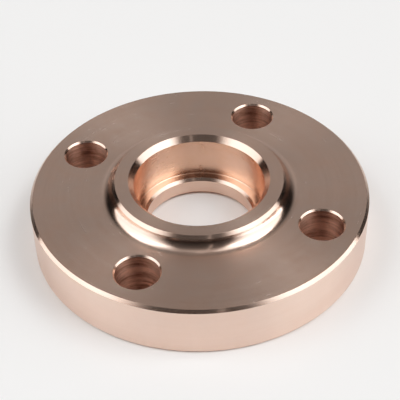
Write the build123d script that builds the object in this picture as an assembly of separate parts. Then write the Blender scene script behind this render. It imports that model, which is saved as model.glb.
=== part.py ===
from build123d import *
from math import cos, radians, sin, tan
import os

# Socket weld flange, one turned and drilled piece of copper-nickel alloy.
# Millimetres. Origin: centre of the flat joint face, on the axis.
# +Z runs from the joint face, through the flange disc, to the socket mouth.

# flange disc
flange_r = 63.5            # outer radius of the disc
flange_t = 20.5            # thickness of the disc, joint face to hub-side face
rim_top_chamfer = 1.05     # 45 degree chamfer, rim to hub-side face
rim_bottom_chamfer = 0.8   # 45 degree chamfer, rim to joint face

# hub
overall_h = 25.4           # joint face to the end face of the hub
hub_top_r = 31.5           # outer radius of the hub's end face
hub_chamfer = 1.1          # 45 degree chamfer on the hub's outer edge
hub_lean = 21.0            # degrees that the hub's side leans from upright
hub_fillet_r = 5.0         # concave radius between the side and the disc

# socket that takes the pipe end
socket_r = 24.5            # bored radius of the socket
mouth_chamfer_r = 2.0      # radial width of the chamfer at the socket's mouth
mouth_chamfer_h = 2.1      # height of that chamfer
socket_floor_z = 7.6       # height of the shoulder that the pipe end faces
socket_corner_r = 0.4      # radius in the corner of wall and shoulder

# through bore
bore_r = 20.45             # flow bore radius
shoulder_chamfer = 1.0     # 45 degree chamfer, shoulder to bore
bore_exit_chamfer = 1.2    # 45 degree chamfer, bore to joint face

# bolt holes, straddling the X and Y centrelines
bolt_circle_r = 49.2       # radius of the bolt circle
bolt_hole_r = 7.95         # radius of each drilled hole
bolt_hole_count = 4
bolt_hole_chamfer = 0.6    # 45 degree chamfer at both ends of each hole

# The side of the hub, from its end face down: a chamfer, a short straight
# slope and a concave round that runs out level on the disc's face.
lean = radians(hub_lean)
slope_top = (hub_top_r + hub_chamfer, overall_h - hub_chamfer)
slope_foot_z = flange_t + hub_fillet_r * (1 - sin(lean))
slope_foot = (
    slope_top[0] + (slope_top[1] - slope_foot_z) * tan(lean),
    slope_foot_z,
)
hub_foot_r = slope_foot[0] + hub_fillet_r * cos(lean)

# Half section in the XZ plane, anticlockwise from the bore's exit edge.
with BuildPart() as body:
    with BuildSketch(Plane.XZ) as section:
        with BuildLine():
            Polyline(
                (bore_r + bore_exit_chamfer, 0),
                (flange_r - rim_bottom_chamfer, 0),
                (flange_r, rim_bottom_chamfer),
                (flange_r, flange_t - rim_top_chamfer),
                (flange_r - rim_top_chamfer, flange_t),
                (hub_foot_r, flange_t),
            )
            CenterArc(
                (hub_foot_r, flange_t + hub_fillet_r),
                hub_fillet_r, 180 + hub_lean, 90 - hub_lean,
            )
            Polyline(
                slope_foot,
                slope_top,
                (hub_top_r, overall_h),
                (socket_r + mouth_chamfer_r, overall_h),
                (socket_r, overall_h - mouth_chamfer_h),
                (socket_r, socket_floor_z + socket_corner_r),
            )
            CenterArc(
                (socket_r - socket_corner_r, socket_floor_z + socket_corner_r),
                socket_corner_r, 270, 90,
            )
            Polyline(
                (socket_r - socket_corner_r, socket_floor_z),
                (bore_r + shoulder_chamfer, socket_floor_z),
                (bore_r, socket_floor_z - shoulder_chamfer),
                (bore_r, bore_exit_chamfer),
                (bore_r + bore_exit_chamfer, 0),
            )
        make_face()
    revolve(axis=Axis.Z)

# One bolt hole with its two chamfers, as the solid that the drill and the
# countersink take away.
over = 1.0
with BuildPart() as drill:
    with BuildSketch(Plane.XZ):
        with BuildLine():
            Polyline(
                (0, -over),
                (bolt_hole_r + bolt_hole_chamfer + over, -over),
                (bolt_hole_r, bolt_hole_chamfer),
                (bolt_hole_r, flange_t - bolt_hole_chamfer),
                (bolt_hole_r + bolt_hole_chamfer + over, flange_t + over),
                (0, flange_t + over),
                close=True,
            )
        make_face()
    revolve(axis=Axis.Z)

flange = body.part
for place in PolarLocations(bolt_circle_r, bolt_hole_count, start_angle=45):
    flange = flange - place * drill.part

flange.label = "flange"

os.makedirs("parts", exist_ok=True)
export_step(flange, "parts/flange.step")
print("flange volume mm3", flange.volume)
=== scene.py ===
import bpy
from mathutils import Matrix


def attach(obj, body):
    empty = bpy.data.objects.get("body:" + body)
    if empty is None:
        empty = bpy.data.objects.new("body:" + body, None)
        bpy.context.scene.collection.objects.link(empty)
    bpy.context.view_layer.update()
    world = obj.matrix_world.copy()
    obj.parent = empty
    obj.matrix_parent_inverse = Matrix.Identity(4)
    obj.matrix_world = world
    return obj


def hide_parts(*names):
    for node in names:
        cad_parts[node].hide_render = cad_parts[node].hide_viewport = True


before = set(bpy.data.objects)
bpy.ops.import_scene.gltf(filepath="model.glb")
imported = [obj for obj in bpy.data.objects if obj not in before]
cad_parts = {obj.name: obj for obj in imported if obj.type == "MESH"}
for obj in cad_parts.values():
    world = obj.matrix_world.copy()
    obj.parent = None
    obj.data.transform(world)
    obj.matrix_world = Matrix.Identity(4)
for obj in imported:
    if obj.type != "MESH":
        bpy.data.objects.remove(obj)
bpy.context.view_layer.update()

import math

import bpy
from mathutils import Matrix, Vector

MM = 0.001
scene = bpy.context.scene

# ---------------------------------------------------------------- geometry
# The flange's section in millimetres, the same as the solid's. Each zone has
# its own finish. Sharp edges are broken by a tenth of a millimetre, as a
# deburred edge is.
R, T, TOP = 63.5, 20.5, 25.4
RIM_TOP, RIM_BOT = 1.05, 0.8
HUB_TOP_R, HUB_CH, HUB_FILLET, LEAN = 31.5, 1.1, 5.0, 21.0
SIN, COS = math.sin(math.radians(LEAN)), math.cos(math.radians(LEAN))
SLOPE_Z = T + HUB_FILLET * (1 - SIN)
SLOPE_R = HUB_TOP_R + HUB_CH + (TOP - HUB_CH - SLOPE_Z) * SIN / COS
FOOT_R = SLOPE_R + HUB_FILLET * COS
SOCKET_R, MOUTH_R, MOUTH_H = 24.5, 2.0, 2.1
FLOOR_Z, CORNER_R = 7.6, 0.4
BORE_R, SHOULDER_CH, EXIT_CH = 20.45, 1.0, 1.2
PCR, HOLE_R, HOLE_CH = 49.2, 7.95, 0.6
BREAK = 0.12

ZONES = ["face", "rim", "chamfer", "fillet", "hub_face", "socket", "shoulder",
         "bore", "hole", "hole_chamfer", "joint"]
ZI = {name: i for i, name in enumerate(ZONES)}


def corner(a, p, b, radius, steps=3):
    """Points and normals round the corner at p, between the lines from a and
    to b. The normals point to the right of the way walked."""
    ux, uy = p[0] - a[0], p[1] - a[1]
    vx, vy = b[0] - p[0], b[1] - p[1]
    lu, lv = math.hypot(ux, uy), math.hypot(vx, vy)
    ux, uy, vx, vy = ux / lu, uy / lu, vx / lv, vy / lv
    turn = math.atan2(ux * vy - uy * vx, ux * vx + uy * vy)
    t = radius * math.tan(abs(turn) / 2)
    n0 = (uy, -ux)
    side = 1.0 if turn > 0 else -1.0
    cx = p[0] - ux * t - side * n0[0] * radius
    cy = p[1] - uy * t - side * n0[1] * radius
    out = []
    for k in range(steps + 1):
        w = turn * k / steps
        nx = n0[0] * math.cos(w) - n0[1] * math.sin(w)
        ny = n0[0] * math.sin(w) + n0[1] * math.cos(w)
        out.append(((cx + side * nx * radius, cy + side * ny * radius), (nx, ny)))
    return out


def walk(points, zones):
    """A profile of rounded corners: a list of (r, z, normal r, normal z) and
    the zone of each stretch between neighbours. The first and last points are
    kept as they are."""
    pts, zs = [], []
    n = len(points)
    for i, p in enumerate(points):
        if i == 0 or i == n - 1:
            q = points[1] if i == 0 else points[n - 2]
            dx, dy = (q[0] - p[0], q[1] - p[1]) if i == 0 else (p[0] - q[0], p[1] - q[1])
            ln = math.hypot(dx, dy)
            pts.append((p[0], p[1], dy / ln, -dx / ln))
            if i == 0:
                zs.append(zones[0])
            continue
        arc = corner(points[i - 1], p, points[i + 1], BREAK)
        for k, (q, nrm) in enumerate(arc):
            pts.append((q[0], q[1], nrm[0], nrm[1]))
            zs.append("chamfer" if k < len(arc) - 1 else zones[i])
    return pts, zs


def split(pts, zs, most):
    """Adds points on long straight stretches, so that no stretch is longer
    than the zone's limit."""
    out, oz = [pts[0]], []
    for i, z in enumerate(zs):
        a, b = pts[i], pts[i + 1]
        k = max(1, math.ceil(math.hypot(b[0] - a[0], b[1] - a[1]) / most.get(z, 4.0)))
        for j in range(1, k + 1):
            w = j / k
            out.append(tuple(a[m] + (b[m] - a[m]) * w for m in range(4)))
            oz.append(z)
    return out, oz


def arc(cx, cz, radius, a0, a1, steps, inward):
    """Arc points with normals towards the centre (a hollow corner) or away."""
    s = -1.0 if inward else 1.0
    return [(cx + radius * math.cos(math.radians(a)), cz + radius * math.sin(math.radians(a)),
             s * math.cos(math.radians(a)), s * math.sin(math.radians(a)))
            for a in (a0 + (a1 - a0) * k / steps for k in range(steps + 1))]


GRID_IN, GRID_OUT = 38.0, 60.7      # radii between which each hole's patch lies

# outside: from the joint face, up the rim, to the hub-side face
outer, outer_z = walk([(GRID_OUT, 0.0), (R - RIM_BOT, 0.0), (R, RIM_BOT), (R, T - RIM_TOP),
                       (R - RIM_TOP, T), (GRID_OUT, T)],
                      ["joint", "chamfer", "rim", "chamfer", "face"])
# inside: from the hub-side face at the hub's foot, over the hub, down the
# socket and the bore, to the joint face
inner = [(GRID_IN, T, 0.0, 1.0)] + arc(FOOT_R, T + HUB_FILLET, HUB_FILLET, 270, 180 + LEAN, 16, True)
inner_z = ["face"] + ["fillet"] * 16
hub, hub_z = walk([(SLOPE_R, SLOPE_Z), (HUB_TOP_R + HUB_CH, TOP - HUB_CH), (HUB_TOP_R, TOP),
                   (SOCKET_R + MOUTH_R, TOP), (SOCKET_R, TOP - MOUTH_H),
                   (SOCKET_R, FLOOR_Z + CORNER_R)],
                  ["fillet", "chamfer", "hub_face", "chamfer", "socket"])
inner += hub[1:]
inner_z += hub_z
inner += arc(SOCKET_R - CORNER_R, FLOOR_Z + CORNER_R, CORNER_R, 0, -90, 6, True)[1:]
inner_z += ["socket"] * 6
floor_pts, floor_z = walk([(SOCKET_R - CORNER_R, FLOOR_Z), (BORE_R + SHOULDER_CH, FLOOR_Z),
                           (BORE_R, FLOOR_Z - SHOULDER_CH), (BORE_R, EXIT_CH),
                           (BORE_R + EXIT_CH, 0.0), (GRID_IN, 0.0)],
                          ["shoulder", "chamfer", "bore", "chamfer", "joint"])
inner += floor_pts[1:]
inner_z += floor_z
limits = {"rim": 3.2, "socket": 2.5, "face": 3.0, "hub_face": 1.8, "bore": 2.0, "joint": 3.5}
outer, outer_z = split(outer, outer_z, limits)
inner, inner_z = split(inner, inner_z, limits)

verts, norms, faces, slots = [], [], [], []


def add(x, y, z, n):
    verts.append((x * MM, y * MM, z * MM))
    norms.append(n)
    return len(verts) - 1


SEG = 480
ANG = [math.tau * k / SEG for k in range(SEG)]


def rings(pts):
    """One ring of vertices for each profile point."""
    out = []
    for r, z, nr, nz in pts:
        out.append([add(r * math.cos(a), r * math.sin(a), z,
                        (nr * math.cos(a), nr * math.sin(a), nz)) for a in ANG])
    return out


def skin(rs, zs):
    for i, z in enumerate(zs):
        a, b = rs[i], rs[i + 1]
        for k in range(SEG):
            m = (k + 1) % SEG
            faces.append((a[k], a[m], b[m], b[k]))
            slots.append(ZI[z])


outer_rings = rings(outer)
inner_rings = rings(inner)
skin(outer_rings, outer_z)
skin(inner_rings, inner_z)

# the two flat faces between GRID_IN and GRID_OUT, with a patch of quads round
# each bolt hole
ROWS, HALF, LAYERS = 20, 18, 7
hole_at = [SEG // 8 + SEG // 4 * k for k in range(4)]
in_patch = set()
for h in hole_at:
    in_patch.update((h - HALF + k) % SEG for k in range(2 * HALF))
loops_by_side = {}
for side, z, nz, zone in (("top", T, 1.0, "face"), ("bottom", 0.0, -1.0, "joint")):
    r_in = inner_rings[0] if side == "top" else inner_rings[-1]
    r_out = outer_rings[-1] if side == "top" else outer_rings[0]
    grid = [r_in]
    for j in range(1, ROWS):
        r = GRID_IN + (GRID_OUT - GRID_IN) * j / ROWS
        row = {}
        for k in range(SEG):
            inside = any(0 < (k - h + HALF) % SEG < 2 * HALF for h in hole_at)
            if not inside:
                row[k] = add(r * math.cos(ANG[k]), r * math.sin(ANG[k]), z, (0, 0, nz))
        grid.append(row)
    grid.append(r_out)
    for j in range(ROWS):
        a, b = grid[j], grid[j + 1]
        for k in range(SEG):
            if k in in_patch:
                continue
            m = (k + 1) % SEG
            quad = (a[k], b[k], b[m], a[m])
            faces.append(quad if nz > 0 else quad[::-1])
            slots.append(ZI[zone])
    loops = []
    for h in hole_at:
        lo, hi = h - HALF, h + HALF
        loop = [grid[0][k % SEG] for k in range(lo, hi)]
        loop += [grid[j][hi % SEG] for j in range(ROWS)]
        loop += [grid[ROWS][k % SEG] for k in range(hi, lo, -1)]
        loop += [grid[j][lo % SEG] for j in range(ROWS, 0, -1)]
        loops.append(loop)
    loops_by_side[side] = loops

hole_pts, hole_z = walk([(HOLE_R + HOLE_CH + 1.2, T), (HOLE_R + HOLE_CH, T), (HOLE_R, T - HOLE_CH),
                         (HOLE_R, HOLE_CH), (HOLE_R + HOLE_CH, 0.0), (HOLE_R + HOLE_CH + 1.2, 0.0)],
                        ["face", "hole_chamfer", "hole", "hole_chamfer", "joint"])
hole_z = ["hole_chamfer" if z == "chamfer" else z for z in hole_z]
hole_pts, hole_z = split(hole_pts, hole_z, {"hole": 2.4, "face": 9, "joint": 9})
for n, h in enumerate(hole_at):
    cx, cy = PCR * math.cos(ANG[h]), PCR * math.sin(ANG[h])
    top, bottom = loops_by_side["top"][n], loops_by_side["bottom"][n]
    turn = [math.atan2(verts[v][1] / MM - cy, verts[v][0] / MM - cx) for v in top]
    count = len(top)
    prof = []
    for r, z, nr, nz in hole_pts:
        # the profile is walked down the hole's wall, so its right-hand normal
        # points to the hole's axis
        prof.append([add(cx + r * math.cos(a), cy + r * math.sin(a), z,
                         (nr * math.cos(a), nr * math.sin(a), nz)) for a in turn])
    for side, loop, ring, z, nz, zone in (("top", top, prof[0], T, 1.0, "face"),
                                          ("bottom", bottom, prof[-1], 0.0, -1.0, "joint")):
        last = loop
        for j in range(1, LAYERS + 1):
            w = 1 - (1 - j / LAYERS) ** 1.0
            if j == LAYERS:
                now = ring
            else:
                now = []
                for k in range(count):
                    ax, ay, _ = verts[loop[k]]
                    bx, by, _ = verts[ring[k]]
                    now.append(add((ax + (bx - ax) * w) / MM, (ay + (by - ay) * w) / MM, z, (0, 0, nz)))
            for k in range(count):
                m = (k + 1) % count
                quad = (last[k], last[m], now[m], now[k])
                faces.append(quad if nz > 0 else quad[::-1])
                slots.append(ZI[zone])
            last = now
    for i, z in enumerate(hole_z):
        a, b = prof[i], prof[i + 1]
        for k in range(count):
            m = (k + 1) % count
            faces.append((a[k], a[m], b[m], b[k]))
            slots.append(ZI[z])

mesh = bpy.data.meshes.new("flange_body")
mesh.from_pydata(verts, [], faces)
mesh.polygons.foreach_set("material_index", slots)
mesh.polygons.foreach_set("use_smooth", [True] * len(faces))
# every face's winding follows the normals that the section gives
flip = []
for p in mesh.polygons:
    want = Vector((0, 0, 0))
    for v in p.vertices:
        want += Vector(norms[v])
    if p.normal.dot(want) < 0:
        flip.append(p.index)
if flip:
    import bmesh
    bm = bmesh.new()
    bm.from_mesh(mesh)
    bm.faces.ensure_lookup_table()
    bmesh.ops.reverse_faces(bm, faces=[bm.faces[i] for i in flip])
    bm.to_mesh(mesh)
    bm.free()
mesh.normals_split_custom_set_from_vertices([Vector(n).normalized() for n in norms])
mesh.validate()
flange = bpy.data.objects.new("flange_body", mesh)
scene.collection.objects.link(flange)
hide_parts("flange")
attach(flange, "root")


# --------------------------------------------------------------- materials
class Nodes:
    """Short ways to add nodes to one node tree."""

    def __init__(self, owner):
        owner.use_nodes = True
        self.nt = owner.node_tree
        self.nt.nodes.clear()

    def new(self, kind, **props):
        n = self.nt.nodes.new(kind)
        for k, v in props.items():
            setattr(n, k, v)
        return n

    def put(self, socket, value):
        if isinstance(value, bpy.types.NodeSocket):
            self.nt.links.new(value, socket)
        else:
            socket.default_value = value

    def math(self, op, a, b=None, c=None, clamp=False):
        n = self.new("ShaderNodeMath", operation=op, use_clamp=clamp)
        for k, v in enumerate((a, b, c)):
            if v is not None:
                self.put(n.inputs[k], v)
        return n.outputs[0]

    def vec(self, op, a, b=None, scale=None):
        n = self.new("ShaderNodeVectorMath", operation=op)
        self.put(n.inputs[0], a)
        if b is not None:
            self.put(n.inputs[1], b)
        if scale is not None:
            self.put(n.inputs["Scale"], scale)
        return n.outputs["Value"] if op in ("LENGTH", "DOT_PRODUCT") else n.outputs["Vector"]

    def join(self, x, y, z):
        n = self.new("ShaderNodeCombineXYZ")
        for s, v in zip(n.inputs, (x, y, z)):
            self.put(s, v)
        return n.outputs[0]

    def apart(self, v):
        n = self.new("ShaderNodeSeparateXYZ")
        self.put(n.inputs[0], v)
        return n.outputs

    def noise(self, vector, scale=1.0, detail=2.0, rough=0.5, warp=0.0):
        n = self.new("ShaderNodeTexNoise")
        self.put(n.inputs["Vector"], vector)
        n.inputs["Scale"].default_value = scale
        n.inputs["Detail"].default_value = detail
        n.inputs["Roughness"].default_value = rough
        n.inputs["Distortion"].default_value = warp
        return n.outputs["Fac"]

    def span(self, v, a0, a1, b0=0.0, b1=1.0, smooth=True):
        n = self.new("ShaderNodeMapRange", interpolation_type="SMOOTHSTEP" if smooth else "LINEAR")
        self.put(n.inputs["Value"], v)
        for k, q in (("From Min", a0), ("From Max", a1), ("To Min", b0), ("To Max", b1)):
            self.put(n.inputs[k], q)
        return n.outputs["Result"]

    def mix(self, fac, a, b, mode="MIX"):
        n = self.new("ShaderNodeMix", data_type="RGBA", blend_type=mode)
        self.put(n.inputs[0], fac)
        for s, v in ((n.inputs[6], a), (n.inputs[7], b)):
            self.put(s, v if isinstance(v, bpy.types.NodeSocket) else (*v, 1.0))
        return n.outputs[2]

    def blend(self, fac, a, b):
        """Between two numbers."""
        n = self.new("ShaderNodeMix", data_type="FLOAT")
        for s, v in zip(n.inputs[:1] + n.inputs[2:4], (fac, a, b)):
            self.put(s, v)
        return n.outputs[0]

    def add(self, *terms):
        total = terms[0]
        for t in terms[1:]:
            total = self.math("ADD", total, t)
        return total

    def times(self, v, k):
        return self.math("MULTIPLY", v, k)

    def about(self, v, k):
        """v, a noise round 0.5, as a swing of k round zero."""
        return self.math("MULTIPLY", self.math("SUBTRACT", v, 0.5), k)

    def levels(self, v, at, values, top):
        """A line through the values, at places from 0 to 1."""
        n = self.new("ShaderNodeValToRGB")
        ramp = n.color_ramp
        while len(ramp.elements) < len(at):
            ramp.elements.new(0.5)
        for e, x, y in zip(ramp.elements, at, values):
            e.position = x
            e.color = (y / top, y / top, y / top, 1.0)
        self.put(n.inputs["Fac"], v)
        return self.math("MULTIPLY", n.outputs["Color"], top)


class Shade(Nodes):
    """One metal material. Lengths inside the nodes are millimetres on the
    part, so the pattern rides with it."""

    def __init__(self, name):
        self.mat = bpy.data.materials.new(name)
        super().__init__(self.mat)
        out = self.new("ShaderNodeOutputMaterial")
        self.b = self.new("ShaderNodeBsdfPrincipled")
        self.nt.links.new(self.b.outputs["BSDF"], out.inputs["Surface"])
        co = self.new("ShaderNodeTexCoord")
        self.p = self.vec("SCALE", co.outputs["Object"], scale=1000.0)
        self.x, self.y, self.z = self.apart(self.p)
        self.r = self.vec("LENGTH", self.join(self.x, self.y, 0.0))

    def circling(self, along, around, across, detail=3.0, rough=0.55, seed=0.0):
        """Noise drawn out round the part's axis, as a lathe tool leaves it:
        around is how fast it changes round the axis, across how fast it
        changes over the surface, per millimetre."""
        unit = self.vec("NORMALIZE", self.join(self.x, self.y, 0.0))
        flat = self.vec("SCALE", unit, scale=around)
        up = self.join(0.0, 0.0, self.math("MULTIPLY_ADD", along, across, seed))
        return self.noise(self.vec("ADD", flat, up), detail=detail, rough=rough)

    def dings(self, scale, keep, size):
        """Small marks, few and at random: 1 in a mark, 0 elsewhere."""
        v = self.new("ShaderNodeTexVoronoi", feature="F1")
        self.put(v.inputs["Vector"], self.p)
        v.inputs["Scale"].default_value = scale
        red = self.new("ShaderNodeSeparateColor")
        self.put(red.inputs[0], v.outputs["Color"])
        pick = self.math("GREATER_THAN", red.outputs[0], keep)
        near = self.span(v.outputs["Distance"], 0.0, size * scale, 1.0, 0.0)
        return self.math("MULTIPLY", pick, near)

    def finish(self, colour, rough, aniso, height=None, bump_mm=0.01, tangent="axis", strength=1.0):
        b = self.b
        b.inputs["Metallic"].default_value = 1.0
        self.put(b.inputs["Base Color"], colour)
        self.put(b.inputs["Roughness"], rough)
        if aniso:
            b.inputs["Anisotropic"].default_value = aniso
            if tangent == "axis":
                tan = self.new("ShaderNodeTangent", direction_type="RADIAL", axis="Z")
                self.put(b.inputs["Tangent"], tan.outputs["Tangent"])
                b.inputs["Anisotropic Rotation"].default_value = 0.25
            else:
                self.put(b.inputs["Tangent"], self.join(0.0, 0.0, 1.0))
        if height is not None:
            n = self.new("ShaderNodeBump")
            n.inputs["Strength"].default_value = strength
            n.inputs["Distance"].default_value = bump_mm * MM
            self.put(n.inputs["Height"], height)
            self.put(b.inputs["Normal"], n.outputs["Normal"])
        return self.mat


ROSE, GREY, DEEP = (0.82, 0.57, 0.455), (0.77, 0.575, 0.48), (0.75, 0.49, 0.36)
# the rim's two paler colours are painted light: the rim is the same metal as the face, made paler to stand in for
# the pale look of its bright highlights
RIM_LIT_PALE, RIM_LIT_CREAM = (0.82, 0.60, 0.50), (0.80, 0.605, 0.515)


def turned(name, along, rough, aniso, pair=(ROSE, GREY), pitch=2.6, groove=0.004,
           rough_swing=0.06, tone_swing=0.10, foot=None, marks=(0.06, 0.82, 0.45), tangent="axis",
           bands=0.0):
    """A fine-turned surface: rings of tool marks, a cloudy film, a few dings.
    along is the way across the tool marks: "r", "z" or "rz" on a slope. bands
    is the strength of faint stripes that run across the rings."""
    s = Shade(name)
    way = {"r": s.r, "z": s.z, "rz": None}[along]
    if way is None:
        way = s.math("SUBTRACT", s.r, s.z)
    fine = s.circling(way, 1.3, pitch, detail=4.0, rough=0.62)
    band = s.circling(way, 0.9, 0.45, detail=2.0, seed=31.0)
    cloud = s.noise(s.p, 0.055, 3.0, 0.6, 0.4)
    film = s.noise(s.p, 0.22, 3.0, 0.55, 0.6)
    ding = s.dings(*marks)
    scuff = s.noise(s.p, 0.9, 2.0, 0.6)
    tone = s.add(s.about(cloud, 1.8), s.about(film, 0.9), s.about(band, 0.7), 0.5)
    colour = s.mix(s.math("MULTIPLY", tone, 1.0, clamp=True), pair[0], pair[1])
    value = s.add(1.0, s.about(fine, tone_swing), s.about(band, tone_swing),
                  s.about(film, tone_swing * 0.8), s.about(scuff, tone_swing * 0.4))
    base = rough
    if bands:
        unit = s.vec("NORMALIZE", s.join(s.x, s.y, 0.0))
        stripe = s.noise(s.vec("SCALE", unit, scale=4.0), 1.0, 3.0, 0.65)
        value = s.add(value, s.about(stripe, bands * 4))
        base = s.add(rough, s.about(stripe, bands))
    colour = s.mix(1.0, colour, s.join(value, value, value), "MULTIPLY")
    colour = s.mix(s.times(ding, 0.5), colour, (0.95, 0.86, 0.80))
    if foot:
        base = s.span(s.r, foot[0], foot[1], rough, foot[2])
    level = s.add(base, s.about(fine, rough_swing), s.about(band, rough_swing * 0.8),
                  s.about(film, rough_swing * 0.9), s.about(cloud, rough_swing * 0.7))
    height = s.add(s.times(fine, 1.0), s.times(scuff, 0.12), s.times(ding, -1.5))
    return s.finish(colour, level, aniso, height, groove, tangent)


def drilled(name, rough, aniso):
    """The wall of a bolt hole: irregular rings from the drill, on a colour darker overall than the other faces."""
    s = Shade(name)
    hx = s.math("SUBTRACT", s.x, s.times(s.math("SIGN", s.x), PCR * math.sqrt(0.5)))
    hy = s.math("SUBTRACT", s.y, s.times(s.math("SIGN", s.y), PCR * math.sqrt(0.5)))
    flat = s.join(hx, hy, 0.0)
    unit = s.vec("SCALE", s.vec("NORMALIZE", flat), scale=0.5)
    tilt = s.times(s.vec("DOT_PRODUCT", flat, (0.6, 0.8, 0.0)), 0.05)
    own = s.add(s.math("SIGN", s.x), s.times(s.math("SIGN", s.y), 2.0))
    high = s.add(s.z, tilt)
    line = s.noise(s.vec("ADD", unit, s.join(s.times(own, 7.0), 0.0, s.times(high, 0.8))), 1.0, 4.0, 0.7)
    wide = s.noise(s.vec("ADD", unit, s.join(s.times(own, 5.0), 9.0, s.times(high, 0.22))), 1.0, 2.0)
    film = s.noise(s.p, 0.35, 3.0, 0.6, 0.5)
    dark = s.add(s.about(line, 2.6), s.about(wide, 2.0), s.about(film, 0.8), 0.45)
    colour = s.mix(s.math("MULTIPLY", dark, 1.0, clamp=True), (0.80, 0.53, 0.42), (0.36, 0.20, 0.145))
    level = s.add(rough, s.about(line, 0.3), s.about(film, 0.12))
    return s.finish(colour, level, aniso, line, 0.2, tangent="up")


MATS = {
    "face": turned("face", "r", 0.25, 0.9, marks=(0.06, 0.9, 0.35)),
    # painted light: the rim gets the paler colour pair, a lit copy of the same metal
    "rim": turned("rim", "z", 0.32, 0.7, pair=(RIM_LIT_PALE, RIM_LIT_CREAM), tone_swing=0.06, bands=0.02),
    "chamfer": turned("chamfer", "rz", 0.21, 0.9, rough_swing=0.04, tone_swing=0.06),
    "fillet": turned("fillet", "rz", 0.18, 0.9, foot=(FOOT_R - 1.5, FOOT_R, 0.25)),
    "hub_face": turned("hub_face", "r", 0.25, 0.9),
    "socket": turned("socket", "z", 0.26, 0.9, pair=(ROSE, DEEP), tone_swing=0.12,
                     marks=(0.05, 0.92, 0.3), bands=0.06),
    "shoulder": turned("shoulder", "r", 0.17, 0.9),
    "bore": turned("bore", "z", 0.22, 0.85, marks=(0.05, 0.92, 0.3), bands=0.03),
    "hole": drilled("hole", 0.46, 0.8),
    "hole_chamfer": turned("hole_chamfer", "rz", 0.24, 0.85, rough_swing=0.03, tangent="up"),
    "joint": turned("joint", "r", 0.34, 0.85, pitch=1.4, groove=0.010, tone_swing=0.14),
}
for z in ZONES:
    mesh.materials.append(MATS[z])

# ------------------------------------------------------------------- floor
fm = bpy.data.meshes.new("floor")
S = 3.0
fm.from_pydata([(-S, -S, 0), (S, -S, 0), (S, S, 0), (-S, S, 0)], [], [(0, 1, 2, 3)])
floor = bpy.data.objects.new("floor", fm)
scene.collection.objects.link(floor)
floor_mat = bpy.data.materials.new("floor_white")
fn = Nodes(floor_mat)
fb = fn.new("ShaderNodeBsdfPrincipled")
at_floor = fn.new("ShaderNodeTexCoord").outputs["Object"]
grain = fn.noise(at_floor, 9.0, 3.0)
fn.put(fb.inputs["Base Color"], fn.mix(grain, (0.955, 0.945, 0.935), (0.945, 0.935, 0.925)))
fn.put(fb.inputs["Roughness"], fn.add(0.3, fn.about(grain, 0.06)))
# the real floor is a sheet: past 0.3 m the metal reflects darkness, while the
# camera goes on seeing a pale floor
far = fn.span(fn.vec("LENGTH", at_floor), 0.30, 0.32)
hidden = fn.math("SUBTRACT", 1.0, fn.new("ShaderNodeLightPath").outputs["Is Camera Ray"])
black = fn.new("ShaderNodeBsdfDiffuse")
black.inputs["Color"].default_value = (0.0, 0.0, 0.0, 1.0)
both = fn.new("ShaderNodeMixShader")
fn.put(both.inputs[0], fn.math("MULTIPLY", far, hidden))
fn.put(both.inputs[1], fb.outputs[0])
fn.put(both.inputs[2], black.outputs[0])
fn.put(fn.new("ShaderNodeOutputMaterial").inputs["Surface"], both.outputs[0])
fm.materials.append(floor_mat)

# ------------------------------------------------------------------ camera
FOCAL_PX, DIST = 1085.22, 407.74
ELEV, ROLL, PAN, TILT = (math.radians(v) for v in (40.4224, -1.6405, -0.0207, 0.6464))
AZIM = math.radians(-18.075)


def rx(a):
    return Matrix.Rotation(a, 3, "X")


def ry(a):
    return Matrix.Rotation(a, 3, "Y")


def rz(a):
    return Matrix.Rotation(a, 3, "Z")


at = Vector((0, -DIST * math.cos(ELEV), DIST * math.sin(ELEV)))
fwd = (-at).normalized()
right = Vector((1, 0, 0))
up = right.cross(fwd)
R0 = Matrix((right, -up, fwd))
RC = rz(ROLL) @ rx(TILT) @ ry(PAN) @ R0
axes = Matrix((RC[0], -RC[1], -RC[2])).transposed()
spin = rz(AZIM)
axes = spin @ axes
place = (spin @ at + Vector((0, 0, T))) * MM
cam = bpy.data.cameras.new("camera")
cam.sensor_width = 36.0
cam.lens = 36.0 * FOCAL_PX / 400.0
cam.clip_start, cam.clip_end = 0.01, 20.0
camera = bpy.data.objects.new("camera", cam)
scene.collection.objects.link(camera)
camera.matrix_world = Matrix.Translation(place) @ axes.to_4x4()
scene.camera = camera

# ------------------------------------------------------------------- light
# A studio of soft light, given by direction. Azimuth is in degrees from the
# camera's side, positive to its right, and height in degrees above the floor.
# A tall soft box stands on either side, with a dim card behind the part, a
# little light from above and hardly any from the camera's side.
world = bpy.data.worlds.new("studio")
scene.world = world
w = Nodes(world)
sky = w.new("ShaderNodeTexCoord").outputs["Generated"]
dx, dy, dz = w.apart(sky)
ca, sa = math.cos(AZIM), math.sin(AZIM)
side_x = w.add(w.times(dx, ca), w.times(dy, sa))
side_y = w.math("SUBTRACT", w.times(dx, sa), w.times(dy, ca))
azim = w.times(w.math("ARCTAN2", side_x, side_y), 180 / math.pi)
away = w.math("ABSOLUTE", azim)
on_left = w.math("LESS_THAN", azim, 0.0)
height = w.times(w.math("ARCSINE", dz), 180 / math.pi)
level = w.times(height, 1 / 90)
LEVELS = [e / 90 for e in (0, 15, 31, 44, 57, 70, 90)]
LEFT = (2.48, 1.25, 1.89, 1.69, 4.17, 0.57, 0.12)
RIGHT = (6.19, 1.23, 1.95, 1.86, 6.32, 1.91, 0.0)
box_l = w.levels(level, LEVELS, LEFT, 10.0)
box_r = w.levels(level, LEVELS, RIGHT, 10.0)
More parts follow.
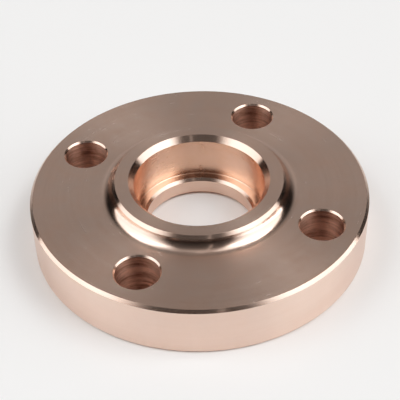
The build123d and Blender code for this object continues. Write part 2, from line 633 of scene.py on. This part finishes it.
# the boxes' front edges fade, and their rear edges are sharp and lean back
lean = w.times(w.math("MAXIMUM", w.math("SUBTRACT", height, 25.0), 0.0), 0.23)
edge = w.math("SUBTRACT", away, lean)
wide_l = w.math("MULTIPLY", w.span(away, 35.4, 70.6), w.span(edge, 111.5, 114.5, 1.0, 0.0))
wide_r = w.math("MULTIPLY", w.span(away, 32.5, 63.6), w.span(edge, 105.5, 108.5, 1.0, 0.0))
wide = w.blend(on_left, wide_r, wide_l)
box = w.blend(on_left, box_r, box_l)
card = w.levels(level, [0.0, 1 / 3, 2 / 3, 1.0], (0.26, 0.38, 0.14, 0.34), 1.0)
card = w.add(w.times(card, w.span(away, 129.5, 153.5)), 0.005)
front = w.levels(level, [0.0, 1 / 3, 2 / 3, 1.0], (0.0, 0.049, 0.113, 0.711), 1.0)
rest = w.blend(w.math("GREATER_THAN", away, 85.0), front, card)
light = w.blend(wide, rest, box)
gap = w.math("MULTIPLY", w.span(azim, 10.8, 11.4), w.span(azim, 13.6, 14.2, 1.0, 0.0))
gap = w.math("MULTIPLY", gap, w.math("MULTIPLY", w.span(height, 25.0, 38.0), w.span(height, 66.0, 80.0, 1.0, 0.0)))
light = w.add(light, w.times(gap, 0.45))
# dark below the floor's far edge
light = w.math("MULTIPLY", light, w.span(height, -1.5, 0.0))
seen = w.new("ShaderNodeLightPath").outputs["Is Camera Ray"]
light = w.blend(seen, light, 0.9)
bg = w.new("ShaderNodeBackground")
w.put(bg.inputs["Color"], (1.0, 1.0, 1.0, 1.0))
w.put(bg.inputs["Strength"], light)
w.put(w.new("ShaderNodeOutputWorld").inputs["Surface"], bg.outputs[0])

# the response of a camera: firm in the darks, soft towards white
scene.view_settings.view_transform = "Standard"
scene.view_settings.use_curve_mapping = True
curves = scene.view_settings.curve_mapping
whole = curves.curves[3]
for x in (0.02, 0.05, 0.1, 0.18, 0.28, 0.4, 0.55, 0.7, 0.85):
    y = 2.5 * x ** 1.2 / (x ** 1.2 + 1.5)
    whole.points.new(x, y)
for point in whole.points:
    point.handle_type = "VECTOR"
curves.update()
